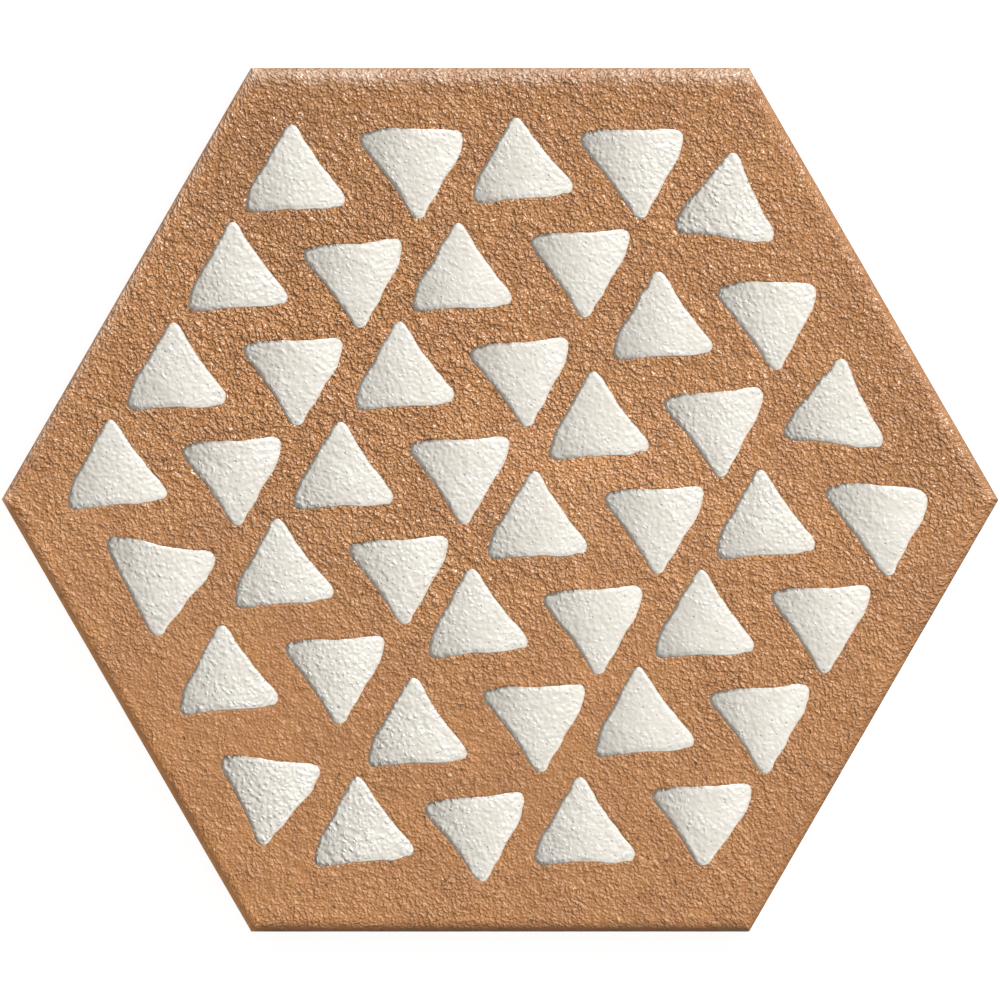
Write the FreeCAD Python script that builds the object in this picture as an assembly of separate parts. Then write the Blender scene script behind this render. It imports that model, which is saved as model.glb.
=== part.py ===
import os
from math import cos, radians, sin, sqrt

import FreeCAD, Part
from FreeCAD import Vector as V

# Hexagonal floor tile, millimetres. X across the corners, Y across the flats,
# Z up through the decorated face, Z = 0 on the back.

# --- body -------------------------------------------------------------------
across_corners = 250.0
thickness = 9.0          # back to plain face, relief not counted
corner_round = 0.5       # the six upright edges
arris_round = 3.0        # soft rounded edge all round the face
back_bevel = 0.4         # small bevel round the back

# --- keyed back ---------------------------------------------------------------
key_depth = 0.8
key_width = 9.0
key_pitch = 18.0
key_margin = 12.0        # plain land left all round
key_round = 2.0          # corners of a channel in plan
key_first = 14.0         # centre of the first channel from the middle of the back
key_rows = 5             # channels each side of the middle land

# --- raised glaze triangles ---------------------------------------------------
pad_height = 0.9         # at the middle of a pad
pad_crown_radius = 250.0 # the top is slightly domed
pad_edge_round = 0.4
pad_root = 0.6           # how far a pad reaches down into the clay

# Outline of one pad, point up, about its own centre (closed cubic spline poles).
pad_poles = [
    (8.14, 2.14), (4.64, 6.92), (2.35, 10.69), (0.74, 13.45), (-0.59, 13.87),
    (-2.37, 13.15), (-2.96, 10.55), (-5.34, 7.91), (-6.86, 3.75), (-10.39, -0.69),
    (-11.56, -5.26), (-11.91, -7.12), (-10.77, -8.72), (-8.23, -8.48), (-2.5, -7.57),
    (3.49, -7.53), (9.1, -7.48), (11.0, -6.43), (12.3, -7.0), (13.82, -4.55),
    (11.27, -1.66),
]
pad_corners = [(-0.6, 13.6), (-11.6, -7.9), (13.2, -5.6)]   # apex, left, right

# Where each pad sits: x, y, turn in degrees, +1 point up or -1 point down.
# The turn is counter-clockwise from the upright (or upside-down) outline.
pads = [
    # first diagonal row, points up
    (-51.87, 80.25, -0.8, 1), (-66.34, 55.66, 0.3, 1), (-81.52, 30.63, -1.4, 1),
    (-96.70, 6.28, 1.6, 1),
    # second, points down
    (-21.02, 84.39, -0.9, -1), (-35.98, 56.53, 1.6, -1), (-51.18, 32.20, -1.3, -1),
    (-66.37, 7.14, 0.3, -1), (-84.59, -19.68, -10.6, -1),
    # third, points up
    (4.88, 82.88, 1.9, 1), (-10.10, 55.49, -0.8, 1), (-24.58, 30.93, 0.3, 1),
    (-39.77, 5.87, -1.3, 1), (-54.95, -18.48, 1.6, 1), (-68.79, -45.13, 1.6, 1),
    # fourth, points down
    (34.23, 84.24, 1.0, -1), (20.79, 59.29, -0.8, -1), (5.75, 31.81, 1.6, -1),
    (-9.43, 7.48, -1.3, -1), (-24.64, -17.61, 0.3, -1), (-40.67, -42.55, -0.8, -1),
    (-57.75, -72.83, -10.2, -1),
    # fifth, points up
    (56.58, 73.28, -11.0, 1), (40.12, 43.41, -0.7, 1), (24.08, 18.47, 0.3, 1),
    (8.86, -6.60, -1.3, 1), (-6.33, -30.94, 1.7, 1), (-21.37, -58.42, -0.7, 1),
    (-34.87, -83.11, 1.7, 1),
    # sixth, points down
    (68.10, 46.23, 1.3, -1), (54.38, 19.34, 1.6, -1), (39.21, -5.00, -1.4, -1),
    (24.00, -30.07, 0.3, -1), (9.50, -54.58, -0.9, -1), (-5.47, -82.08, 1.7, -1),
    # seventh, points up
    (83.89, 21.64, -9.9, 1), (65.81, -6.28, 0.3, 1), (50.61, -31.35, -1.3, 1),
    (35.43, -55.73, 1.3, 1), (20.41, -83.24, -1.2, 1),
    # eighth, points down
    (96.06, -5.18, 1.4, -1), (80.93, -29.76, -1.3, -1), (65.76, -54.79, 0.3, -1),
    (51.19, -79.33, -1.6, -1),
]

# Hand-laid pads that differ from the common outline, by place in the list above:
# shift of apex, left and right corner, then outward bow of the foot, left and
# right sides, all in the pad's own upright frame.
odd_pads = {
    4: ((-0.09, 0.35), (-0.06, 0.71), (1.05, -0.32), (1.15, -0.24, -0.23)),
    8: ((-0.73, 0.67), (-0.54, -0.23), (2.04, -1.56), (-0.47, -0.49, 0.87)),
    9: ((0.0, -0.96), (0.02, 0.14), (0.04, 0.04), (0.08, 0.11, 0.13)),
    15: ((-0.30, 0.26), (-0.08, 0.49), (0.80, -1.21), (0.44, -0.30, 0.32)),
    29: ((-0.29, 0.21), (0.45, 1.25), (0.21, -0.65), (1.08, -0.22, 0.31)),
    33: ((-0.12, 0.05), (-0.07, 0.08), (0.49, -0.39), (-0.05, -0.12, 0.04)),
    39: ((-0.11, -0.01), (0.14, 0.0), (0.46, -0.58), (-0.36, -0.05, 0.0)),
    40: ((-0.20, 0.13), (0.53, 1.80), (1.10, -1.93), (1.31, -0.34, 0.35)),
    43: ((0.93, -1.19), (0.04, -0.10), (-0.14, 0.24), (0.04, 0.59, -0.15)),
}


def corner_weights(x, y):
    (ax, ay), (bx, by), (cx, cy) = pad_corners
    d = (by - cy) * (ax - cx) + (cx - bx) * (ay - cy)
    wa = ((by - cy) * (x - cx) + (cx - bx) * (y - cy)) / d
    wb = ((cy - ay) * (x - cx) + (ax - cx) * (y - cy)) / d
    return wa, wb, 1.0 - wa - wb


def odd_outline(shift_apex, shift_left, shift_right, bows):
    shifts = (shift_apex, shift_left, shift_right)
    mx = sum(c[0] for c in pad_corners) / 3.0
    my = sum(c[1] for c in pad_corners) / 3.0
    out = []
    for x, y in pad_poles:
        w = corner_weights(x, y)
        nx = x + sum(w[i] * shifts[i][0] for i in range(3))
        ny = y + sum(w[i] * shifts[i][1] for i in range(3))
        for bow, (i, j) in zip(bows, ((1, 2), (0, 1), (0, 2))):
            a, b = pad_corners[i], pad_corners[j]
            length = sqrt((b[0] - a[0]) ** 2 + (b[1] - a[1]) ** 2)
            ox, oy = (b[1] - a[1]) / length, (a[0] - b[0]) / length
            if ox * (mx - a[0]) + oy * (my - a[1]) > 0:
                ox, oy = -ox, -oy
            wi, wj = min(max(w[i], 0.0), 1.0), min(max(w[j], 0.0), 1.0)
            nx += 4.0 * wi * wj * bow * ox
            ny += 4.0 * wi * wj * bow * oy
        out.append((nx, ny))
    return out


def hexagon(across, z):
    r = across / 2.0
    points = [V(r * cos(radians(a)), r * sin(radians(a)), z) for a in range(0, 360, 60)]
    return Part.Wire(Part.makePolygon(points + [points[0]]))


def upright_edges(solid):
    return [
        e for e in solid.Edges
        if len(e.Vertexes) == 2
        and abs(e.Vertexes[0].X - e.Vertexes[1].X) < 1e-6
        and abs(e.Vertexes[0].Y - e.Vertexes[1].Y) < 1e-6
    ]


def edges_at(solid, z):
    return [
        e for e in solid.Edges
        if abs(e.BoundBox.ZMin - z) < 1e-6 and abs(e.BoundBox.ZMax - z) < 1e-6
    ]


def make_body():
    body = Part.Face(hexagon(across_corners, 0.0)).extrude(V(0, 0, thickness))
    body = body.makeFillet(corner_round, upright_edges(body))
    body = body.makeFillet(arris_round, edges_at(body, thickness))
    return body.makeChamfer(back_bevel, edges_at(body, 0.0))


def make_channel(y):
    # a straight shallow channel along X, stopping short of the slanted sides
    half = across_corners / 2.0 - (abs(y) + key_width / 2.0) / sqrt(3.0) - key_margin
    box = Part.makeBox(
        2.0 * half, key_width, key_depth + 1.0, V(-half, y - key_width / 2.0, -1.0)
    )
    return box.makeFillet(key_round, upright_edges(box))


def outline_wire(poles):
    # three open pieces, so that the rounded rim has no closing seam
    curve = Part.BSplineCurve()
    curve.buildFromPoles([V(px, py, 0) for px, py in poles], True, 3)
    first, span = curve.FirstParameter, curve.LastParameter - curve.FirstParameter
    pieces = []
    for k in range(3):
        piece = curve.copy()
        piece.segment(first + span * k / 3.0, first + span * (k + 1) / 3.0)
        pieces.append(piece.toShape())
    return Part.Wire(pieces)


def make_pad(poles):
    # upright, about its own centre, foot at Z = 0
    block = Part.Face(outline_wire(poles)).extrude(V(0, 0, pad_height + pad_root + 1.0))
    dome = Part.makeSphere(pad_crown_radius)
    dome.rotate(V(0, 0, 0), V(1, 0, 0), 90)
    dome.translate(V(0, 0, pad_height + pad_root - pad_crown_radius))
    pad = block.common(dome).Solids[0]
    rim = [e for e in pad.Edges if e.BoundBox.ZMin > pad_root and e.Length > 5.0]
    return pad.makeFillet(pad_edge_round, rim)


def place_pad(pad, x, y, turn, way):
    pad = pad.copy()
    pad.rotate(V(0, 0, 0), V(0, 0, 1), turn + (0.0 if way > 0 else 180.0))
    pad.translate(V(x, y, thickness - pad_root))
    return pad


tile = make_body()

channels = []
for row in range(key_rows):
    y = key_first + row * key_pitch
    channels += [make_channel(y), make_channel(-y)]
tile = tile.cut(Part.makeCompound(channels))

common_pad = make_pad(pad_poles)
tops = []
for place, (x, y, turn, way) in enumerate(pads):
    pad = make_pad(odd_outline(*odd_pads[place])) if place in odd_pads else common_pad
    tops.append(place_pad(pad, x, y, turn, way))
tile = tile.fuse(tops)
assert len(tile.Solids) == 1 and tile.isValid()
tile = tile.Solids[0]

os.makedirs("parts", exist_ok=True)
tile.exportStep("parts/hexagon_tile.step")

box = tile.BoundBox
print("solid valid:", tile.isValid(), "solids:", len(tile.Solids), "faces:", len(tile.Faces))
print("size: %.2f x %.2f x %.2f mm" % (box.XLength, box.YLength, box.ZLength))
print("volume: %.1f cm3" % (tile.Volume / 1000.0))
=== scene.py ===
import math

import bpy
import numpy as np
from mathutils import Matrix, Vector
from mathutils.geometry import delaunay_2d_cdt


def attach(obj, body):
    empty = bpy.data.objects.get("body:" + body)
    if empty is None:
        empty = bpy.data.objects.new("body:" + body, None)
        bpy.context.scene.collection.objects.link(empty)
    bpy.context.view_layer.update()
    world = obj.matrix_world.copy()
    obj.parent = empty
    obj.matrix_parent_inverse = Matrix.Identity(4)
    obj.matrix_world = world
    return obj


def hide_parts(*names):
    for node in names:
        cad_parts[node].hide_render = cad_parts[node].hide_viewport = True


# Hexagon floor tile: grainy fired clay with raised white glazed triangles.
# Lengths here are millimetres, in the row's frame; meshes are written in metres.

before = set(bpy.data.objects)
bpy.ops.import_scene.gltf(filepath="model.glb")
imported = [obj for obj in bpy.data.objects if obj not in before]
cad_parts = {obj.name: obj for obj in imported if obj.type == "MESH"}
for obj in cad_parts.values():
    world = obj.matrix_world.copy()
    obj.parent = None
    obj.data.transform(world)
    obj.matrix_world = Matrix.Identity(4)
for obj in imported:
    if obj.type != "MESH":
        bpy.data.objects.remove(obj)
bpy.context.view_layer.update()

MM = 0.001

# ---------------------------------------------------------------- dimensions
ACROSS = 250.0
APOTHEM = ACROSS / 2.0 * math.cos(math.radians(30))
FACE_Z = 9.0
CORNER_R = 0.5
ARRIS_R = 3.0
BEVEL = 0.4
KEY_DEPTH, KEY_WIDTH, KEY_PITCH, KEY_MARGIN, KEY_R, KEY_FIRST, KEY_ROWS = (
    0.8, 9.0, 18.0, 12.0, 2.0, 14.0, 5)
PAD_RIM = 0.90           # width of the rounded rim of a pad
TOP_LIMIT = 9.89

PAD_POLES = np.array([
    (8.14, 2.14), (4.64, 6.92), (2.35, 10.69), (0.74, 13.45), (-0.59, 13.87),
    (-2.37, 13.15), (-2.96, 10.55), (-5.34, 7.91), (-6.86, 3.75), (-10.39, -0.69),
    (-11.56, -5.26), (-11.91, -7.12), (-10.77, -8.72), (-8.23, -8.48), (-2.5, -7.57),
    (3.49, -7.53), (9.1, -7.48), (11.0, -6.43), (12.3, -7.0), (13.82, -4.55),
    (11.27, -1.66)])
PAD_CORNERS = np.array([(-0.6, 13.6), (-11.6, -7.9), (13.2, -5.6)])

PADS = [
    (-51.87, 80.25, -0.8, 1), (-66.34, 55.66, 0.3, 1), (-81.52, 30.63, -1.4, 1),
    (-96.70, 6.28, 1.6, 1),
    (-21.02, 84.39, -0.9, -1), (-35.98, 56.53, 1.6, -1), (-51.18, 32.20, -1.3, -1),
    (-66.37, 7.14, 0.3, -1), (-84.59, -19.68, -10.6, -1),
    (4.88, 82.88, 1.9, 1), (-10.10, 55.49, -0.8, 1), (-24.58, 30.93, 0.3, 1),
    (-39.77, 5.87, -1.3, 1), (-54.95, -18.48, 1.6, 1), (-68.79, -45.13, 1.6, 1),
    (34.23, 84.24, 1.0, -1), (20.79, 59.29, -0.8, -1), (5.75, 31.81, 1.6, -1),
    (-9.43, 7.48, -1.3, -1), (-24.64, -17.61, 0.3, -1), (-40.67, -42.55, -0.8, -1),
    (-57.75, -72.83, -10.2, -1),
    (56.58, 73.28, -11.0, 1), (40.12, 43.41, -0.7, 1), (24.08, 18.47, 0.3, 1),
    (8.86, -6.60, -1.3, 1), (-6.33, -30.94, 1.7, 1), (-21.37, -58.42, -0.7, 1),
    (-34.87, -83.11, 1.7, 1),
    (68.10, 46.23, 1.3, -1), (54.38, 19.34, 1.6, -1), (39.21, -5.00, -1.4, -1),
    (24.00, -30.07, 0.3, -1), (9.50, -54.58, -0.9, -1), (-5.47, -82.08, 1.7, -1),
    (83.89, 21.64, -9.9, 1), (65.81, -6.28, 0.3, 1), (50.61, -31.35, -1.3, 1),
    (35.43, -55.73, 1.3, 1), (20.41, -83.24, -1.2, 1),
    (96.06, -5.18, 1.4, -1), (80.93, -29.76, -1.3, -1), (65.76, -54.79, 0.3, -1),
    (51.19, -79.33, -1.6, -1),
]
ODD_PADS = {
    4: ((-0.09, 0.35), (-0.06, 0.71), (1.05, -0.32), (1.15, -0.24, -0.23)),
    8: ((-0.73, 0.67), (-0.54, -0.23), (2.04, -1.56), (-0.47, -0.49, 0.87)),
    9: ((0.0, -0.96), (0.02, 0.14), (0.04, 0.04), (0.08, 0.11, 0.13)),
    15: ((-0.30, 0.26), (-0.08, 0.49), (0.80, -1.21), (0.44, -0.30, 0.32)),
    29: ((-0.29, 0.21), (0.45, 1.25), (0.21, -0.65), (1.08, -0.22, 0.31)),
    33: ((-0.12, 0.05), (-0.07, 0.08), (0.49, -0.39), (-0.05, -0.12, 0.04)),
    39: ((-0.11, -0.01), (0.14, 0.0), (0.46, -0.58), (-0.36, -0.05, 0.0)),
    40: ((-0.20, 0.13), (0.53, 1.80), (1.10, -1.93), (1.31, -0.34, 0.35)),
    43: ((0.93, -1.19), (0.04, -0.10), (-0.14, 0.24), (0.04, 0.59, -0.15)),
}


# --------------------------------------------------------------------- noise
def hashed(ix, iy, seed):
    h = (ix.astype(np.int64) * 374761393 + iy.astype(np.int64) * 668265263
         + seed * 2246822519) & 0xFFFFFFFF
    h = ((h ^ (h >> 13)) * 1274126177) & 0xFFFFFFFF
    h = ((h ^ (h >> 15)) * 2654435761) & 0xFFFFFFFF
    return (h ^ (h >> 16)) / 4294967296.0


def noise(x, y, size, seed):
    """Gradient noise, about -1 to 1, with cells of that size."""
    x, y = x / size, y / size
    x0, y0 = np.floor(x), np.floor(y)
    fx, fy = x - x0, y - y0
    u = fx * fx * fx * (fx * (fx * 6 - 15) + 10)
    v = fy * fy * fy * (fy * (fy * 6 - 15) + 10)
    c = []
    for dy in (0, 1):
        for dx in (0, 1):
            a = 2 * math.pi * hashed(x0 + dx, y0 + dy, seed)
            c.append(np.cos(a) * (fx - dx) + np.sin(a) * (fy - dy))
    return 1.55 * ((c[0] * (1 - u) + c[1] * u) * (1 - v) + (c[2] * (1 - u) + c[3] * u) * v)


def blobs(x, y, size, seed, keep=1.0):
    """Rounded bumps on a jittered grid: 1 on top of a bump, 0 between them."""
    x, y = x / size, y / size
    x0, y0 = np.floor(x), np.floor(y)
    best = np.zeros_like(x)
    for dy in (-1, 0, 1):
        for dx in (-1, 0, 1):
            cx, cy = x0 + dx, y0 + dy
            px = cx + 0.5 + 0.8 * (hashed(cx, cy, seed) - 0.5)
            py = cy + 0.5 + 0.8 * (hashed(cx, cy, seed + 1) - 0.5)
            r = 0.36 + 0.30 * hashed(cx, cy, seed + 2)
            on = hashed(cx, cy, seed + 3) < keep
            d = np.clip(1 - ((x - px) ** 2 + (y - py) ** 2) / (r * r), 0, 1)
            best = np.maximum(best, on * d ** 1.5 * (r / 0.66))
    return best


def smooth(t):
    t = np.clip(t, 0, 1)
    return t * t * (3 - 2 * t)


# ---------------------------------------------------------- how the face varies
def grain_strength(x, y):
    """How rough the clay is, about 0.5 to 1.5: coarser at the top and left."""
    g = 0.76 + 0.17 * np.tanh((y + 8) / 38.0)
    for amount, gx, gy, reach in ((0.80, -46, 42, 28), (0.18, 10, 92, 34), (0.42, -12, -17, 15),
                                  (0.22, 24, 20, 16), (0.16, 66, -38, 24), (0.14, 108, 8, 16),
                                  (0.12, -104, 22, 18), (-0.22, -62, -50, 24), (-0.18, 12, -62, 20),
                                  (-0.14, -104, -8, 14)):
        g += amount * np.exp(-((x - gx) ** 2 + (y - gy) ** 2) / (2.0 * reach ** 2))
    g += 0.10 * noise(x, y, 22.0, 71) + 0.10 * noise(x, y, 8.0, 72)
    return np.clip(g, 0.40, 1.60)


def glaze_strength(x, y):
    """How lumpy the glaze is, about 0.6 to 1.5: most at the lower left and the upper right."""
    g = np.full_like(x, 0.96)
    for amount, gx, gy, reach in ((0.56, -48, -84, 28), (0.58, 56, 78, 18), (0.10, -60, -38, 24),
                                  (0.38, 68, 0, 15), (-0.34, 50, -44, 24), (-0.27, 14, 46, 20),
                                  (0.14, -66, 56, 18), (0.14, -40, 10, 22), (-0.22, 96, -5, 12)):
        g += amount * np.exp(-((x - gx) ** 2 + (y - gy) ** 2) / (2.0 * reach ** 2))
    return np.clip(g + 0.25 * noise(x, y, 7.0, 51), 0.45, 1.8)


# side: pale dust and a painted sheen on its rounded edge, where that peaks and how wide, painted light and shade
# at the very edge, reach
SIDES = {
    90: (0.52, 1.6, 2.2, 1.08, 1.0),
    150: (0.30, 1.0, 1.2, 2.2, 1.2),
    210: (0.0, 1.5, 1.2, 2.85, 1.05),
    270: (0.0, 1.5, 1.2, 0.60, 0.5),
    330: (0.0, 1.5, 1.2, 0.95, 1.6),
    30: (0.03, 1.5, 1.2, 0.92, 1.6),
}
# how far each side of the hand-finished tile falls short of the plain hexagon
SHORT = {90: 0.03, 150: 0.10, 210: 0.18, 270: 0.0, 330: 0.0, 30: 0.05}


def edge_fields(x, y, drop):
    """Pale dust with a painted sheen, and the clay's tone with painted light and shade at its outline, from the
    distance to each side.
    """
    dust_and_sheen = np.zeros_like(x)
    tone_and_edge_light = np.ones_like(x)
    patchy = 0.8 + 0.5 * noise(x, y, 13.0, 41) + 0.35 * noise(x, y, 4.5, 42)
    for angle, (amount, peak, wide, edge, reach) in SIDES.items():
        a = math.radians(angle)
        d = APOTHEM - (x * math.cos(a) + y * math.sin(a))
        # pale dust with a painted sheen on the top and upper-left rounded edges
        dust_and_sheen += amount * np.exp(-((d - peak) / wide) ** 2) * np.exp(-drop / 1.5)
        # painted light and shade right at the outline: brighter at the left sides, darker at the bottom side
        tone_and_edge_light += (edge - 1.0) * np.exp(-d / reach)
    # the middle and the upper right of the face a little paler, the lower part a little darker
    face = 1.051 - 0.040 * smooth((-y - 40) / 30)
    for amount, gx, gy, rx, ry in ((0.29, 20, 11, 24, 13), (0.06, 50, 55, 42, 40), (0.05, 62, -4, 34, 24),
                                   (0.09, -12, 40, 24, 36), (0.06, 12, -18, 22, 12),
                                   (0.085, -62, 42, 34, 20), (-0.10, -60, 84, 20, 16),
                                   (-0.04, -50, -20, 30, 14), (-0.05, -124, 12, 16, 14),
                                   (0.05, -64, -56, 14, 14), (-0.05, -42, -58, 12, 12), (0.04, -112, -10, 18, 12),
                                   (-0.06, 112, 12, 14, 10), (0.055, 90, -12, 16, 12), (-0.03, -72, -20, 36, 20),
                                   (-0.07, -46, 101, 16, 14), (-0.06, -22, -56, 15, 13),
                                   (-0.05, -90, -34, 18, 14), (-0.03, -10, -80, 30, 14),
                                   (0.04, 67, 78, 16, 16), (0.05, -45, 32, 36, 34),
                                   (0.04, -45, -101, 16, 9), (0.035, 45, -101, 16, 9),
                                   (-0.045, 45, -57, 14, 12)):
        face = face + amount * np.exp(-((x - gx) / rx) ** 2 - ((y - gy) / ry) ** 2)
    face = face + 0.016 * noise(x, y, 24.0, 43) + 0.016 * noise(x, y, 11.0, 44)
    tone_and_edge_light = np.clip(tone_and_edge_light, 0.3, 2.6) * face
    # and there it is less yellow than towards the lower side
    warm = (1.0 - 2.7 * np.exp(-((x - 18) / 32) ** 2 - ((y - 7) / 20) ** 2)
            + 0.8 * np.exp(-((x + 34) / 34) ** 2 - ((y - 46) / 32) ** 2) + 1.4 * smooth((-y - 12) / 55))
    tone_and_edge_light = np.stack([tone_and_edge_light, tone_and_edge_light * (1 - 0.014 * warm), tone_and_edge_light * (1 - 0.050 * warm)], 1)
    return dust_and_sheen * np.clip(patchy, 0.15, 1.5), tone_and_edge_light


def clay_relief(x, y):
    """Coarse grain of the clay face, in mm. The finest grain is in the material."""
    g = grain_strength(x, y)
    h = 0.055 * noise(x, y, 2.7, 11) + 0.036 * noise(x, y, 1.9, 12)
    h += 0.030 * (blobs(x, y, 2.1, 13, 0.8) - 0.35)
    h = h * g + 0.035 * noise(x, y, 7.0, 14) + 0.045 * noise(x, y, 19.0, 15)
    return h


# ---------------------------------------------------------------------- meshes
def mesh_object(name, verts, faces, attributes, material, sharp=50.0):
    mesh = bpy.data.meshes.new(name)
    mesh.from_pydata((np.asarray(verts, float) * MM).tolist(), [], faces)
    mesh.validate(verbose=False)
    for key, values in attributes.items():
        values = np.asarray(values, np.float32)
        if values.ndim == 2:
            a = mesh.attributes.new(key, "FLOAT_VECTOR", "POINT")
            a.data.foreach_set("vector", values.ravel())
        else:
            a = mesh.attributes.new(key, "FLOAT", "POINT")
            a.data.foreach_set("value", values)
    mesh.polygons.foreach_set("use_smooth", [True] * len(mesh.polygons))
    mesh.update()
    mesh.set_sharp_from_angle(angle=math.radians(sharp))
    obj = bpy.data.objects.new(name, mesh)
    bpy.context.scene.collection.objects.link(obj)
    mesh.materials.append(material)
    return obj


def triangulate(points, edges=(), border=0):
    """Delaunay triangles of 2D points, as indices into the points given.

    The first `border` points are the outline; flat slivers between three of
    them are left out.
    """
    out = delaunay_2d_cdt([Vector((float(a), float(b))) for a, b in points],
                          list(edges), [], 0, 1e-5)
    verts, tris, origin = out[0], out[2], out[3]
    back = [o[0] if o else -1 for o in origin]
    if min(back) < 0:
        raise ValueError("the triangulation added a point")
    result = []
    for t in tris:
        a, b, c = t
        pa, pb, pc = verts[a], verts[b], verts[c]
        area = (pb.x - pa.x) * (pc.y - pa.y) - (pb.y - pa.y) * (pc.x - pa.x)
        if abs(area) < 1e-9:
            continue
        if max(back[a], back[b], back[c]) < border:
            longest = max((pb - pa).length, (pc - pb).length, (pa - pc).length)
            if abs(area) / longest < 2e-3:
                continue
        if area < 0:
            a, b, c = a, c, b
        result.append((back[a], back[b], back[c]))
    return result


def lattice(x0, x1, y0, y1, step, seed, jitter=0.2):
    rows = np.arange(y0, y1, step * math.sqrt(3) / 2)
    cols = np.arange(x0, x1, step)
    gx, gy = np.meshgrid(cols, rows)
    gx = gx + (np.arange(len(rows)) % 2)[:, None] * step / 2
    ix, iy = np.meshgrid(np.arange(len(cols)), np.arange(len(rows)))
    gx = gx + step * jitter * 2 * (hashed(ix, iy, seed) - 0.5)
    gy = gy + step * jitter * 2 * (hashed(ix, iy, seed + 5) - 0.5)
    return np.c_[gx.ravel(), gy.ravel()]


def spline_loop(poles, spacing):
    """Evenly spaced points on the closed uniform cubic B-spline of these poles."""
    n = len(poles)
    u = np.linspace(0, n, 1800, endpoint=False)
    i = np.floor(u).astype(int)
    t = u - i
    b = np.stack([(1 - t) ** 3, 3 * t ** 3 - 6 * t ** 2 + 4,
                  -3 * t ** 3 + 3 * t ** 2 + 3 * t + 1, t ** 3], 1) / 6.0
    p = sum(b[:, k:k + 1] * poles[(i + k) % n] for k in range(4))
    q = np.r_[p, p[:1]]
    s = np.r_[0, np.cumsum(np.hypot(*np.diff(q, axis=0).T))]
    m = int(round(s[-1] / spacing))
    w = np.linspace(0, s[-1], m, endpoint=False)
    loop = np.c_[np.interp(w, s, q[:, 0]), np.interp(w, s, q[:, 1])]
    x, y = loop.T
    if np.sum(x * np.roll(y, -1) - y * np.roll(x, -1)) < 0:
        loop = loop[::-1]
    return loop


def loop_normals(loop):
    t = np.roll(loop, -1, 0) - np.roll(loop, 1, 0)
    t /= np.hypot(*t.T)[:, None]
    return np.c_[t[:, 1], -t[:, 0]]


def to_loop(points, loop):
    """Distance from each point to a closed loop, positive inside it."""
    a, b = loop, np.roll(loop, -1, 0)
    ab = b - a
    ll = (ab ** 2).sum(1)
    dist = np.full(len(points), 1e9)
    inside = np.zeros(len(points), bool)
    for k in range(len(loop)):
        ap = points - a[k]
        t = np.clip((ap @ ab[k]) / ll[k], 0, 1)
        d = ap - t[:, None] * ab[k]
        dist = np.minimum(dist, (d ** 2).sum(1))
        cross = (a[k, 1] > points[:, 1]) != (b[k, 1] > points[:, 1])
        if ab[k, 1] != 0:
            hit = points[:, 0] < a[k, 0] + (points[:, 1] - a[k, 1]) * ab[k, 0] / ab[k, 1]
            inside ^= cross & hit
    return np.sqrt(dist) * np.where(inside, 1, -1)


def odd_poles(shift_apex, shift_left, shift_right, bows):
    m = np.c_[PAD_CORNERS, np.ones(3)]
    w = np.c_[PAD_POLES, np.ones(len(PAD_POLES))] @ np.linalg.inv(m)
    out = PAD_POLES + w @ np.array([shift_apex, shift_left, shift_right])
    wc = np.clip(w, 0, 1)
    for bow, (i, j) in zip(bows, ((1, 2), (0, 1), (0, 2))):
        d = PAD_CORNERS[j] - PAD_CORNERS[i]
        o = np.array([d[1], -d[0]]) / np.hypot(*d)
        if o @ (PAD_CORNERS.mean(0) - PAD_CORNERS[i]) > 0:
            o = -o
        out = out + (4 * wc[:, i] * wc[:, j] * bow)[:, None] * o
    return out


def placed(points, x, y, turn, way):
    a = math.radians(turn + (0 if way > 0 else 180))
    c, s = math.cos(a), math.sin(a)
    return points @ np.array([[c, s], [-s, c]]) + np.array([x, y])


def wobble(points):
    """Small unevenness of the hand-laid outlines, as a smooth shift of the plane."""
    x, y = points[:, 0], points[:, 1]
    return points + np.c_[0.13 * noise(x, y, 2.6, 61) + 0.14 * noise(x, y, 4.4, 63),
                          0.13 * noise(x, y, 2.6, 62) + 0.14 * noise(x, y, 4.4, 64)]


def turned(points):
    """The plane turned a little, so that no texture lines up with the sides."""
    c, s = math.cos(math.radians(37)), math.sin(math.radians(37))
    p = np.asarray(points, float)
    return np.c_[p[:, 0] * c - p[:, 1] * s, p[:, 0] * s + p[:, 1] * c, np.zeros(len(p))]


def hex_loop(inset, n):
    """Points and outward directions round the hexagon, inset from its outline."""
    r = max(CORNER_R - inset, 0.12)
    reach = (APOTHEM - inset - r) / math.cos(math.radians(30))
    pts, out = [], []
    for k in range(6):
        c = math.radians(60 * k)
        m = reach * np.array([math.cos(c), math.sin(c)])
        for j in (-30, -10, 10, 30):
            d = np.array([math.cos(c + math.radians(j)), math.sin(c + math.radians(j))])
            pts.append(m + r * d)
            out.append(d)
        e = math.radians(60 * k + 60)
        m2 = reach * np.array([math.cos(e), math.sin(e)])
        d = np.array([math.cos(c + math.radians(30)), math.sin(c + math.radians(30))])
        for i in range(1, n):
            pts.append((m + r * d) * (1 - i / n) + (m2 + r * d) * (i / n))
            out.append(d)
    return np.array(pts), np.array(out)


outlines = []
for place, (px, py, turn, way) in enumerate(PADS):
    poles = odd_poles(*ODD_PADS[place]) if place in ODD_PADS else PAD_POLES
    outlines.append(poles)

# ------------------------------------------------------------------ clay body
SIDE_N = 160
FACE_STEP = 0.625

verts, faces = [], []
flat_v, drop_v = [], []     # unrolled position, and how far down the side

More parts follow.
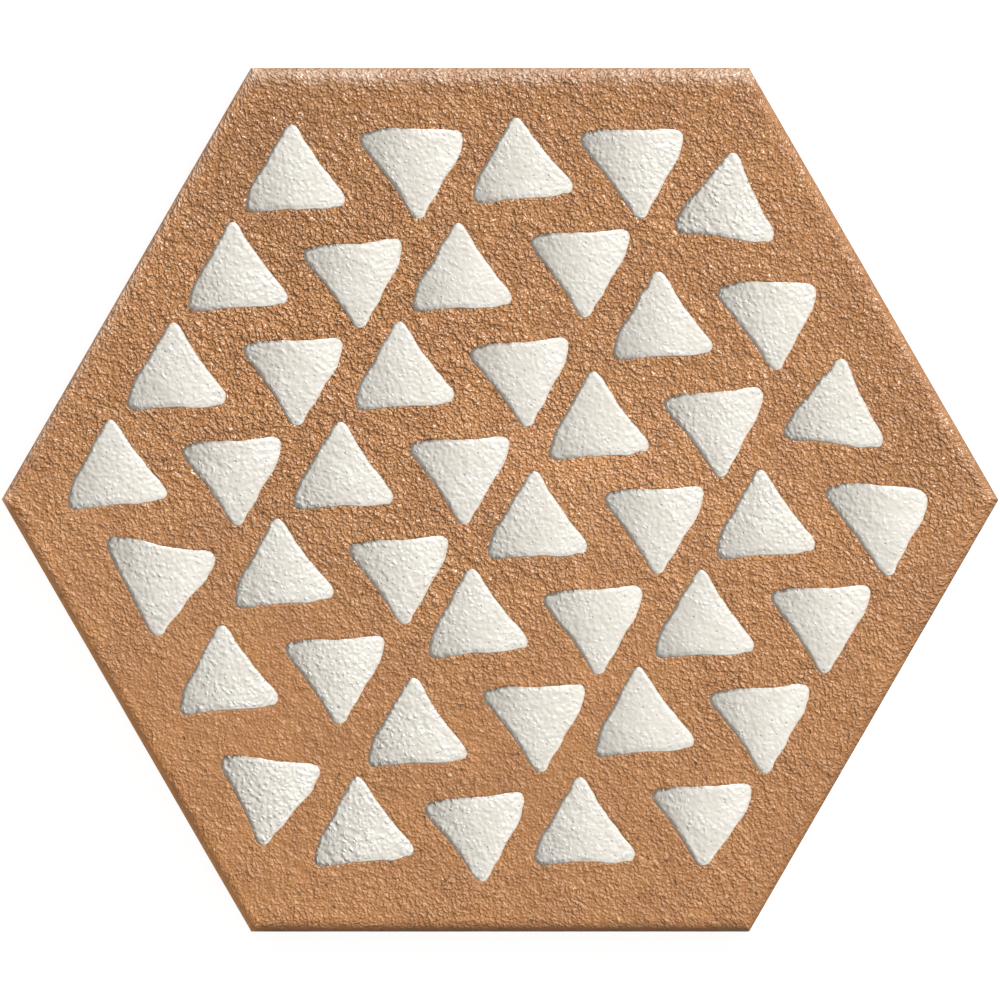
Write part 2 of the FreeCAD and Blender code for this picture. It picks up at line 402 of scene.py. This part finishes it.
# rows from the flat face over the rounded edge, down the side, to the back
rows = []
for theta in (0, 12, 24, 36, 48, 60, 74, 90):
    t = math.radians(theta)
    rows.append((ARRIS_R * (1 - math.sin(t)), FACE_Z - ARRIS_R * (1 - math.cos(t)),
                 math.sin(t), math.cos(t), ARRIS_R * t))
side_run = ARRIS_R * math.pi / 2
for z in (4.7, 3.4, 2.1, 1.1, BEVEL):
    rows.append((0.0, z, 1.0, 0.0, side_run + (FACE_Z - ARRIS_R) - z))
rows.append((BEVEL, 0.0, 0.7, -0.7, side_run + FACE_Z - ARRIS_R))

flat_loop, flat_dir = hex_loop(ARRIS_R, SIDE_N)
row_start = []
for inset, z, out_part, up_part, run in rows:
    loop, direction = hex_loop(inset, SIDE_N)
    u = flat_loop + direction * run
    h = clay_relief(u[:, 0], u[:, 1])
    weight = {a: np.clip(direction @ np.array([math.cos(math.radians(a)), math.sin(math.radians(a))]),
                         0, 1) ** 20 for a in SHORT}
    short = sum(weight[a] * SHORT[a] for a in SHORT) / sum(weight.values())
    if z == 0.0:
        h = -0.03 - short
    else:
        h = h * (1 - out_part) + (np.minimum(h * 0.3 - 0.01, 0) - short) * out_part
    row_start.append(len(verts))
    for i in range(len(loop)):
        verts.append((loop[i, 0] + direction[i, 0] * out_part * h[i],
                      loop[i, 1] + direction[i, 1] * out_part * h[i],
                      max(z + up_part * h[i], 0.0) if z > 0 else 0.0))
    flat_v += u.tolist()
    drop_v += [max(FACE_Z - ARRIS_R - z, 0.0)] * len(loop)
n_loop = len(flat_loop)
for r in range(len(rows) - 1):
    a, b = row_start[r], row_start[r + 1]
    for i in range(n_loop):
        j = (i + 1) % n_loop
        faces.append((a + i, b + i, b + j, a + j))

# the face: a fine lattice on the clay, denser round each pad, coarse beneath it
pts = lattice(-ACROSS / 2, ACROSS / 2, -APOTHEM, APOTHEM, FACE_STEP, 3)
edge_dist = APOTHEM - ARRIS_R - np.maximum.reduce([
    np.abs(pts @ np.array([math.cos(math.radians(k)), math.sin(math.radians(k))]))
    for k in (30, 90, 150)])
pts = pts[edge_dist > 0.33]
keep = np.ones(len(pts), bool)
extra, extra_depth = [], []
for poles, (px, py, turn, way) in zip(outlines, PADS):
    loop = wobble(placed(spline_loop(poles, 0.62), px, py, turn, way))
    near = np.nonzero((pts[:, 0] - px) ** 2 + (pts[:, 1] - py) ** 2 < 20.0 ** 2)[0]
    d = to_loop(pts[near], loop)
    keep[near[d > -0.30]] = False
    nrm = loop_normals(loop)
    extra.append(loop + nrm * 0.02)
    extra_depth.append(np.zeros(len(loop)))
    extra.append((loop - nrm * 0.35)[::2])
    extra_depth.append(np.full(len(loop[::2]), 0.35))
    inner = lattice(px - 16, px + 16, py - 16, py + 16, 2.2, 9)
    di = to_loop(inner, loop)
    inner = inner[di > 1.2]
    extra.append(inner)
    extra_depth.append(np.full(len(inner), 0.35))
clay = pts[keep]
extra, extra_depth = np.vstack(extra), np.concatenate(extra_depth)
field = np.vstack([flat_loop, clay, extra])
depth = np.concatenate([np.zeros(n_loop), np.zeros(len(clay)), extra_depth])
tris = triangulate(field, border=n_loop)
base = len(verts)
for p, dp in zip(field[n_loop:], depth[n_loop:]):
    verts.append((p[0], p[1], -dp))
fx, fy = field[n_loop:, 0], field[n_loop:, 1]
relief = clay_relief(fx, fy)
for i, h in enumerate(relief):
    x, y, dp = verts[base + i]
    verts[base + i] = (x, y, FACE_Z + h + dp)
flat_v += field[n_loop:].tolist()
drop_v += [0.0] * len(fx)


def field_index(i):
    return row_start[0] + i if i < n_loop else base + i - n_loop


for t in tris:
    faces.append(tuple(field_index(i) for i in t))

# the back: lands at floor level between shallow keying channels
back_loop = hex_loop(BEVEL, SIDE_N)[0]
channel_loops = []
for row in range(KEY_ROWS):
    for sign in (1, -1):
        yc = sign * (KEY_FIRST + row * KEY_PITCH)
        half = ACROSS / 2 - (abs(yc) + KEY_WIDTH / 2) / math.sqrt(3) - KEY_MARGIN
        loop = []
        for cx, cy, a0 in ((half - KEY_R, yc - KEY_WIDTH / 2 + KEY_R, -90),
                           (half - KEY_R, yc + KEY_WIDTH / 2 - KEY_R, 0),
                           (-half + KEY_R, yc + KEY_WIDTH / 2 - KEY_R, 90),
                           (-half + KEY_R, yc - KEY_WIDTH / 2 + KEY_R, 180)):
            for a in range(0, 91, 15):
                t = math.radians(a0 + a)
                loop.append((cx + KEY_R * math.cos(t), cy + KEY_R * math.sin(t)))
        # break the long sides up
        full = []
        for i, p in enumerate(loop):
            q = loop[(i + 1) % len(loop)]
            full.append(p)
            n = int(math.hypot(q[0] - p[0], q[1] - p[1]) / 4.0)
            for k in range(1, n):
                full.append((p[0] + (q[0] - p[0]) * k / n, p[1] + (q[1] - p[1]) * k / n))
        channel_loops.append(np.array(full))
land = lattice(-ACROSS / 2, ACROSS / 2, -APOTHEM, APOTHEM, 4.0, 6)
edge_dist = APOTHEM - BEVEL - np.maximum.reduce([
    np.abs(land @ np.array([math.cos(math.radians(k)), math.sin(math.radians(k))]))
    for k in (30, 90, 150)])
land = land[edge_dist > 1.5]
clear = np.ones(len(land), bool)
for loop in channel_loops:
    clear &= to_loop(land, loop) < -0.8
land = land[clear]
flat = [back_loop] + channel_loops + [land]
starts = np.cumsum([0] + [len(f) for f in flat])
edges = []
for k in range(1, 1 + len(channel_loops)):
    m = len(flat[k])
    edges += [(int(starts[k] + i), int(starts[k] + (i + 1) % m)) for i in range(m)]
flat = np.vstack(flat)
tris = triangulate(flat, edges, n_loop)
# a ring of its own, so that the look of the sides doesn't run on to the back
back_base = len(verts)
verts += verts[row_start[-1]:row_start[-1] + n_loop]
verts += [(p[0], p[1], 0.0) for p in flat[n_loop:]]

centres = flat[np.array(tris)].mean(1)
in_channel = np.zeros(len(tris), bool)
for loop in channel_loops:
    lo2, hi2 = loop.min(0), loop.max(0)
    cand = np.nonzero(((centres > lo2) & (centres < hi2)).all(1))[0]
    if len(cand):
        in_channel[cand[to_loop(centres[cand], loop) > 0]] = True
for t, skip in zip(tris, in_channel):
    if not skip:
        faces.append(tuple(back_base + i for i in reversed(t)))
for k, loop in enumerate(channel_loops):
    m = len(loop)
    top = back_base + int(starts[k + 1])
    nrm = loop_normals(loop)
    low = len(verts)
    verts += [(p[0], p[1], KEY_DEPTH) for p in (loop - nrm * 0.35)]
    for i in range(m):
        j = (i + 1) % m
        faces.append((top + i, top + j, low + j, low + i))
    inner = loop - nrm * 0.35
    floor_tris = triangulate(inner)
    for t in floor_tris:
        faces.append(tuple(low + i for i in reversed(t)))
for p in verts[len(flat_v):]:
    flat_v.append([p[0] + 400.0, p[1]])
    drop_v.append(FACE_Z - ARRIS_R)

plan = np.array(verts)[:, :2]
flat_v, drop_v = np.array(flat_v), np.array(drop_v)
on_back = flat_v[:, 0] > 200
grain_v = np.where(on_back, 0.6, grain_strength(flat_v[:, 0], flat_v[:, 1]))
dust_and_sheen_v, tone_and_edge_light_v = edge_fields(plan[:, 0], plan[:, 1], drop_v)
dust_and_sheen_v[on_back], tone_and_edge_light_v[on_back] = 0.0, (1.0, 0.985, 0.95)


# ------------------------------------------------------------------- materials
def tree_of(name):
    material = bpy.data.materials.new(name)
    material.use_nodes = True
    tree = material.node_tree
    tree.nodes.clear()
    out = tree.nodes.new("ShaderNodeOutputMaterial")
    shader = tree.nodes.new("ShaderNodeBsdfPrincipled")
    tree.links.new(shader.outputs["BSDF"], out.inputs["Surface"])
    return material, tree, shader


class Nodes:
    """Short hands for a node tree that works in the unrolled plane, in mm."""

    def __init__(self, tree):
        self.t = tree
        a = self.new("ShaderNodeAttribute")
        a.attribute_name = "unrolled"
        self.mm = a.outputs["Vector"]

    def new(self, kind):
        return self.t.nodes.new(kind)

    def link(self, a, b):
        self.t.links.new(a, b)

    def put(self, value, socket):
        if hasattr(value, "is_output"):
            self.link(value, socket)
        else:
            socket.default_value = value

    def slanted(self, angles):
        """The plane laid obliquely through space, so that no noise grid shows."""
        m = self.new("ShaderNodeMapping")
        m.inputs["Rotation"].default_value = angles
        m.inputs["Location"].default_value = (31.7 * angles[0], 47.3 * angles[1], 23.1 + 5 * angles[2])
        self.link(self.mm, m.inputs["Vector"])
        return m.outputs["Vector"]

    def noise(self, size, detail=0.0, rough=0.5, turn=(0.61, 0.83, 0.37), output="Fac"):
        n = self.new("ShaderNodeTexNoise")
        n.noise_dimensions = "3D"
        n.inputs["Scale"].default_value = 1.0 / size
        n.inputs["Detail"].default_value = detail
        n.inputs["Roughness"].default_value = rough
        self.link(self.slanted(turn), n.inputs["Vector"])
        return n.outputs[output]

    def cells(self, size, warp=0.0, warp_size=1.0, randomness=1.0, seed=0.0):
        """Distance to the nearest of some scattered points, and a random colour of each."""
        where = self.mm
        if warp:
            push = self.new("ShaderNodeVectorMath")
            push.operation = "MULTIPLY_ADD"
            self.link(self.noise(warp_size, turn=(0.9, 0.4, 1.1), output="Color"), push.inputs[0])
            push.inputs[1].default_value = (warp, warp, 0.0)
            self.link(self.mm, push.inputs[2])
            where = push.outputs["Vector"]
        if seed:
            move = self.new("ShaderNodeVectorMath")
            move.operation = "ADD"
            self.link(where, move.inputs[0])
            move.inputs[1].default_value = (seed, seed * 0.7, 0.0)
            where = move.outputs["Vector"]
        n = self.new("ShaderNodeTexVoronoi")
        n.voronoi_dimensions = "2D"
        n.feature = "F1"
        n.inputs["Scale"].default_value = 1.0 / size
        n.inputs["Randomness"].default_value = randomness
        self.link(where, n.inputs["Vector"])
        return n.outputs["Distance"], n.outputs["Color"]

    def math(self, op, a, b=0.0, c=None, clamp=False):
        n = self.new("ShaderNodeMath")
        n.operation = op
        n.use_clamp = clamp
        self.put(a, n.inputs[0])
        self.put(b, n.inputs[1])
        if c is not None:
            self.put(c, n.inputs[2])
        return n.outputs[0]

    def ramp(self, value, low, high, to_low=0.0, to_high=1.0, kind="SMOOTHSTEP"):
        n = self.new("ShaderNodeMapRange")
        n.interpolation_type = kind
        self.put(value, n.inputs["Value"])
        n.inputs["From Min"].default_value = low
        n.inputs["From Max"].default_value = high
        n.inputs["To Min"].default_value = to_low
        n.inputs["To Max"].default_value = to_high
        return n.outputs["Result"]

    def mix(self, factor, a, b, blend="MIX"):
        n = self.new("ShaderNodeMix")
        n.data_type = "RGBA"
        n.blend_type = blend
        self.put(factor, n.inputs[0])
        self.put(a, n.inputs[6])
        self.put(b, n.inputs[7])
        return n.outputs[2]

    def attribute(self, name, output="Fac"):
        n = self.new("ShaderNodeAttribute")
        n.attribute_name = name
        return n.outputs[output]

    def red(self, colour):
        n = self.new("ShaderNodeSeparateColor")
        self.link(colour, n.inputs[0])
        return n.outputs[0]


def srgb(r, g, b):
    def f(c):
        c = c / 255.0
        return c / 12.92 if c <= 0.04045 else ((c + 0.055) / 1.055) ** 2.4
    return (f(r), f(g), f(b), 1.0)


clay_mat, tree, shader = tree_of("terracotta_clay")
k = Nodes(tree)
grain = k.attribute("grain")
dust_and_sheen = k.attribute("dust_and_sheen")
tone_and_edge_light = k.attribute("tone_and_edge_light", "Color")

mid = k.noise(12.0, 2.0, 0.6)
coarse = k.noise(2.1, turn=(0.5, 1.0, 0.2))
grit = k.noise(1.4, turn=(0.7, 1.2, 0.4))
middle = k.noise(0.95, turn=(1.1, 0.3, 0.9))
fine = k.noise(0.62, turn=(0.3, 0.7, 1.6))

BROWN = srgb(177, 122, 74)
YELLOW = srgb(187, 131, 79)
colour = k.mix(k.ramp(mid, 0.36, 0.64), YELLOW, BROWN)
# the gaps between the grains painted darker and redder, as painted shade
colour = k.mix(k.ramp(middle, 0.54, 0.36, 0.0, 0.46), colour, srgb(166, 110, 60))
# the tops of the fine grain a little paler, as painted highlights
colour = k.mix(k.math("MULTIPLY", k.ramp(fine, 0.54, 0.70, 0.0, 0.16), grain),
               colour, srgb(246, 220, 194))
# scattered pale specks and dark pits
speck_at, speck_kind = k.cells(4.6, seed=9.0)
speck = k.math("MULTIPLY", k.ramp(speck_at, 0.12, 0.05), k.ramp(k.red(speck_kind), 0.70, 0.75))
colour = k.mix(k.math("MULTIPLY", speck, 0.5), colour, srgb(236, 196, 146))
pit = k.math("MULTIPLY", k.ramp(speck_at, 0.13, 0.06), k.ramp(k.red(speck_kind), 0.16, 0.12))
# three larger pits
for px, py in ((-12.1, 29.7), (-40.4, 80.0), (-48.2, 52.5)):
    away = k.new("ShaderNodeVectorMath")
    away.operation = "DISTANCE"
    k.link(k.mm, away.inputs[0])
    away.inputs[1].default_value = turned(np.array([[px, py]]))[0].tolist()
    pit = k.math("MAXIMUM", pit, k.ramp(away.outputs["Value"], 0.62, 0.20, 0.0, 1.6))
colour = k.mix(k.math("MULTIPLY", pit, 0.5, clamp=True), colour, srgb(84, 52, 36))
# whitish dust worn on to the rounded edge, together with a painted sheen of the light there
dust_and_sheen_mask = k.math("MULTIPLY", dust_and_sheen, k.ramp(middle, 0.40, 0.56, 0.45, 1.0), clamp=True)
colour = k.mix(dust_and_sheen_mask, colour, srgb(240, 222, 208))
# the clay's tone, with painted light and shade along the outline
colour = k.mix(1.0, colour, tone_and_edge_light, "MULTIPLY")
k.link(colour, shader.inputs["Base Color"])

k.link(k.math("ADD", k.ramp(grain, 0.5, 1.1, 0.50, 0.33), k.math("MULTIPLY", coarse, 0.06)),
       shader.inputs["Roughness"])
shader.inputs["Specular IOR Level"].default_value = 0.88

# fine grain: heights in millimetres
# rounded grains standing on a flatter, finely uneven ground
wide = k.noise(4.6, 1.0, 0.6, turn=(0.8, 0.5, 1.4))
swell = k.math("ADD", k.math("MULTIPLY", coarse, 0.35), k.math("MULTIPLY", wide, 0.36))
swell = k.math("MULTIPLY", swell, k.math("MULTIPLY_ADD", grain, 0.48, 0.40))
height = 0.0
for source, even, grains in ((grit, 0.26, 0.08), (middle, 0.15, 0.120), (fine, 0.145, 0.240)):
    height = k.math("ADD", height, k.math("MULTIPLY", source, even))
    height = k.math("ADD", height, k.math("MULTIPLY", k.ramp(source, 0.42, 0.72), grains))
calm = k.ramp(wide, 0.36, 0.60, 0.80, 1.12)
height = k.math("MULTIPLY_ADD", height, k.math("MULTIPLY", grain, calm), swell)
height = k.math("SUBTRACT", height, k.math("MULTIPLY", pit, 0.18))
bump = k.new("ShaderNodeBump")
bump.inputs["Strength"].default_value = 1.0
bump.inputs["Distance"].default_value = MM
k.link(height, bump.inputs["Height"])
k.link(bump.outputs["Normal"], shader.inputs["Normal"])

glaze_mat, tree, shader = tree_of("white_glaze")
k = Nodes(tree)
across = k.attribute("across")
depth_at = k.attribute("depth")
rough = k.attribute("grain")
cloud = k.noise(6.5, 2.0, 0.55)
colour = k.mix(k.ramp(cloud, 0.35, 0.65), srgb(229, 224, 214), srgb(233, 229, 220))
# the glaze painted greyer right at its foot, as painted shade on the rim
colour = k.mix(k.ramp(depth_at, 0.0, 0.5, 0.20, 0.0), colour, srgb(190, 186, 178))
# small round drops in the glaze, in clusters, painted whiter: partly whiter glaze, partly painted highlights
drop_at, drop_kind = k.cells(1.35, warp=1.5, warp_size=1.7, randomness=0.85, seed=21.3)
scarce = k.ramp(cloud, 0.38, 0.60, 0.84, 0.42)
scarce = k.math("MULTIPLY", scarce, k.math("MULTIPLY_ADD", rough, -0.35, 1.27))
picked = k.math("GREATER_THAN", k.red(drop_kind), scarce)
drops = k.math("MULTIPLY", k.ramp(drop_at, 0.42, 0.04), picked)
colour = k.mix(k.math("MULTIPLY", drops, 0.62), colour, srgb(250, 248, 244))
hole_at, hole_kind = k.cells(3.4, seed=4.0)
hole = k.math("MULTIPLY", k.ramp(hole_at, 0.10, 0.04), k.ramp(k.red(hole_kind), 0.6, 0.7))
colour = k.mix(k.math("MULTIPLY", hole, 0.35), colour, srgb(150, 142, 130))
# painted light and shade on the glaze: lighter towards the upper right, darker at the foot
colour = k.mix(1.0, colour, k.attribute("glaze_painted_light"), "MULTIPLY")
k.link(colour, shader.inputs["Base Color"])
k.link(k.ramp(cloud, 0.3, 0.7, 0.34, 0.42), shader.inputs["Roughness"])
shader.inputs["Specular IOR Level"].default_value = 1.0
shader.inputs["Coat Weight"].default_value = 0.4
shader.inputs["Coat Roughness"].default_value = 0.26
# the drops and the finer unevenness stand in the glaze, in mm
lumps = k.noise(1.0, turn=(0.2, 1.3, 0.8))
height = k.math("MULTIPLY", drops, 0.095)
height = k.math("ADD", height, k.math("MULTIPLY", lumps, 0.235))
height = k.math("ADD", height, k.math("MULTIPLY", k.noise(1.9, turn=(1.3, 0.2, 0.5)), 0.19))
height = k.math("ADD", height, k.math("MULTIPLY", k.noise(0.75, turn=(0.7, 0.1, 1.8)), 0.05))
height = k.math("MULTIPLY", height, rough)
height = k.math("SUBTRACT", height, k.math("MULTIPLY", hole, 0.10))
bump = k.new("ShaderNodeBump")
bump.inputs["Strength"].default_value = 1.0
bump.inputs["Distance"].default_value = MM
k.link(height, bump.inputs["Height"])
# the triangles are slightly barrel shaped across, falling away more at the left and below
lean = k.new("ShaderNodeCombineXYZ")
k.link(k.math("MULTIPLY", across, k.math("MULTIPLY_ADD", across, -0.0004, 0.034)), lean.inputs[0])
k.link(k.math("MULTIPLY", k.math("MINIMUM", k.attribute("along"), 0.0), 0.006), lean.inputs[1])
leaning = k.new("ShaderNodeVectorMath")
leaning.operation = "ADD"
k.link(k.new("ShaderNodeNewGeometry").outputs["Normal"], leaning.inputs[0])
k.link(lean.outputs[0], leaning.inputs[1])
surface = leaning.outputs["Vector"]
# the rims fall away more steeply at the sides than at the top and the foot
steep = k.new("ShaderNodeVectorMath")
steep.operation = "MULTIPLY_ADD"
k.link(surface, steep.inputs[0])
steep.inputs[1].default_value = (1.95, 0.35, 1.0)
steep.inputs[2].default_value = (0.0, -0.03, 0.0)
rim = k.new("ShaderNodeMix")
rim.data_type = "VECTOR"
k.link(k.ramp(depth_at, 0.35, 0.95, 1.0, 0.0), rim.inputs[0])
k.link(surface, rim.inputs[4])
k.link(steep.outputs["Vector"], rim.inputs[5])
unit = k.new("ShaderNodeVectorMath")
unit.operation = "NORMALIZE"
k.link(rim.outputs[1], unit.inputs[0])
k.link(unit.outputs["Vector"], bump.inputs["Normal"])
k.link(bump.outputs["Normal"], shader.inputs["Normal"])

body = mesh_object("clay_body", verts, faces,
                   {"grain": grain_v, "dust_and_sheen": dust_and_sheen_v, "tone_and_edge_light": tone_and_edge_light_v,
                    "unrolled": turned(flat_v)}, clay_mat, 50)
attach(body, "root")
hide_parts("hexagon_tile")

# ------------------------------------------------------------------ glaze pads
RIM_STEPS = (0.06, 0.17, 0.33, 0.55, 0.82, 1.15)


def pad_points(poles, seed):
    """Plan points of one upright pad: its outline, rings inside it, then a lattice."""
    loop = spline_loop(poles, 0.53)
    nrm = loop_normals(loop)
    kept = loop
    m = len(loop)
    for n, d in enumerate(RIM_STEPS):
        ring = loop - nrm * d
        if n % 2:
            ring = 0.5 * (ring + np.roll(ring, -1, 0))
        di = to_loop(ring, loop)
        ring = ring[di > d * 0.93]
        if len(ring) > 3:
            gap = np.hypot(*(ring - np.roll(ring, 1, 0)).T)
            ring = ring[gap > 0.20]
        kept = np.vstack([kept, ring])
    inner = lattice(-16, 16, -16, 16, 0.485, seed)
    di = to_loop(inner, loop)
    inner = inner[di > RIM_STEPS[-1] + 0.22]
    return loop, np.vstack([kept, inner])


def nearest_point(points, loop):
    return np.array([np.argmin(((loop - p) ** 2).sum(1)) for p in points])


def pad_height(dx, dy, world, depth_in, out_y):
    """Height of the glaze above the clay's level, barrel shaped across X."""
    crown = 0.56 - 0.016 * (np.sqrt(dx * dx + 9.0) - 3.0) - dy * dy / 1500.0
    t = np.clip(depth_in / (PAD_RIM + 0.3 * np.clip(-out_y, 0, 1)), 0, 1)
    rise = 0.25 * np.sqrt(np.clip(1 - (1 - t) ** 2, 0, 1)) + 0.75 * (1 - (1 - t) ** 2)
    wx, wy = world[:, 0], world[:, 1]
    bumps = 0.044 * (blobs(wx, wy, 1.45, 52, 0.7) - 0.25) + 0.032 * noise(wx, wy, 2.1, 56)
    bumps = bumps * glaze_strength(wx, wy) + 0.035 * noise(wx, wy, 5.5, 57)
    fade = smooth(t * 1.4)
    return crown * rise + bumps * fade


common = pad_points(PAD_POLES, 21)
pad_verts, pad_faces = [], []
across_v, along_v, depth_v, rough_v, glaze_painted_light_v = [], [], [], [], []
common_tris = triangulate(common[1])
for place, (px, py, turn, way) in enumerate(PADS):
    if place in ODD_PADS:
        loop, local = pad_points(outlines[place], 21)
        tris = triangulate(local)
    else:
        loop, local = common
        tris = common_tris
    m = len(loop)
    depth_in = np.maximum(to_loop(local, loop), 0)
    depth_in[:m] = 0
    # the outline isn't convex, so triangles outside it go
    mid_pts = local[np.array(tris)].mean(1)
    inside = to_loop(mid_pts, loop) > -0.004
    world = wobble(placed(local, px, py, turn, way))
    dx, dy = world[:, 0] - px, world[:, 1] - py
    # which way the nearest part of the outline faces
    facing = placed(loop_normals(loop), 0, 0, turn, way)
    nearest = nearest_point(local, loop)
    h = pad_height(dx, dy, world, depth_in, facing[nearest, 1])
    start = len(pad_verts)
    top = np.minimum(FACE_Z + h, TOP_LIMIT)
    top[:m] = FACE_Z + clay_relief(world[:m, 0], world[:m, 1])
    pad_verts += np.c_[world, top].tolist()
    across_v += dx.tolist() + dx[:m].tolist()
    along_v += dy.tolist() + dy[:m].tolist()
    # the glaze a little lighter towards the upper right, as painted light, and darker on its foot ring, as
    # painted shade
    glaze_painted_light_v += (0.995 + 0.00020 * world[:, 0] + 0.00022 * world[:, 1]).tolist()
    glaze_painted_light_v += [0.96] * m
    depth_v += depth_in.tolist() + [0.0] * m
    here = glaze_strength(world[:, 0], world[:, 1])
    rough_v += here.tolist() + here[:m].tolist()
    foot = len(pad_verts)
    pad_verts += [(p[0], p[1], FACE_Z - 0.32) for p in world[:m]]
    for t, ok in zip(tris, inside):
        if ok:
            pad_faces.append(tuple(start + i for i in t))
    for i in range(m):
        j = (i + 1) % m
        pad_faces.append((start + i, foot + i, foot + j, start + j))
    pad_faces.append(tuple(foot + i for i in range(m - 1, -1, -1)))

pads = mesh_object("glazed_triangles", pad_verts, pad_faces, {
    "across": across_v, "along": along_v, "depth": depth_v, "grain": rough_v, "glaze_painted_light": glaze_painted_light_v,
    "unrolled": turned(np.array(pad_verts)[:, :2])}, glaze_mat, 70)
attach(pads, "root")
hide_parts("hexagon_tile")

for piece in (body, pads):
    piece.data.calc_loop_triangles()
    print(piece.name, "triangles", len(piece.data.loop_triangles))

# ------------------------------------------------------------- floor and lights
floor_mat, tree, shader = tree_of("pale_floor")
shader.inputs["Base Color"].default_value = (0.30, 0.30, 0.30, 1)
shader.inputs["Roughness"].default_value = 0.9
shader.inputs["Emission Color"].default_value = (1.0, 1.0, 1.0, 1)
seen = tree.nodes.new("ShaderNodeLightPath")
lift = tree.nodes.new("ShaderNodeMath")
lift.operation = "MULTIPLY"
tree.links.new(seen.outputs["Is Camera Ray"], lift.inputs[0])
lift.inputs[1].default_value = 0.90
tree.links.new(lift.outputs[0], shader.inputs["Emission Strength"])
floor_mat.cycles.emission_sampling = "NONE"
floor_mesh = bpy.data.meshes.new("floor")
ring = [(9.0 * math.cos(a), 9.0 * math.sin(a), 0.0)
        for a in np.linspace(0, 2 * math.pi, 64, endpoint=False)]
floor_mesh.from_pydata(ring, [], [tuple(range(64))])
floor_mesh.materials.append(floor_mat)
floor = bpy.data.objects.new("floor", floor_mesh)
bpy.context.scene.collection.objects.link(floor)


def sun(name, azimuth, elevation, strength, angle, colour):
    light = bpy.data.lights.new(name, "SUN")
    light.energy = strength
    light.angle = math.radians(angle)
    light.color = colour
    obj = bpy.data.objects.new(name, light)
    a, e = math.radians(azimuth), math.radians(elevation)
    to_light = Vector((math.cos(e) * math.cos(a), math.cos(e) * math.sin(a), math.sin(e)))
    obj.rotation_euler = to_light.to_track_quat("Z", "Y").to_euler()
    obj.location = to_light * 2.0
    bpy.context.scene.collection.objects.link(obj)
    return obj


sun("key", 46, 35, 3.65, 8, (1.0, 0.995, 0.985))

world = bpy.data.worlds.new("studio")
world.use_nodes = True
bpy.context.scene.world = world
nodes, links = world.node_tree.nodes, world.node_tree.links
nodes.clear()
out = nodes.new("ShaderNodeOutputWorld")
seen = nodes.new("ShaderNodeBackground")
seen.inputs["Color"].default_value = (1, 1, 1, 1)
seen.inputs["Strength"].default_value = 1.0
fill_light = nodes.new("ShaderNodeBackground")
fill_light.inputs["Color"].default_value = (1.0, 0.98, 0.955, 1)
fill_light.inputs["Strength"].default_value = 0.38
path = nodes.new("ShaderNodeLightPath")
mix = nodes.new("ShaderNodeMixShader")
links.new(path.outputs["Is Camera Ray"], mix.inputs["Fac"])
links.new(fill_light.outputs["Background"], mix.inputs[1])
links.new(seen.outputs["Background"], mix.inputs[2])
links.new(mix.outputs["Shader"], out.inputs["Surface"])

# --------------------------------------------------------------------- camera
LENS = 600.0
WIDTH = 0.25045
cam_data = bpy.data.cameras.new("camera")
cam_data.lens = LENS
cam_data.sensor_width = 36.0
cam_data.sensor_fit = "HORIZONTAL"
cam_data.clip_end = 60.0
cam = bpy.data.objects.new("camera", cam_data)
cam.location = (0.0000426, -0.0000852, 0.0085 + WIDTH / 2 / (18.0 / LENS))
cam.rotation_euler = (0, 0, 0)
bpy.context.scene.collection.objects.link(cam)
bpy.context.scene.camera = cam
bpy.context.scene.view_settings.view_transform = "Standard"
bpy.context.scene.view_settings.look = "None"
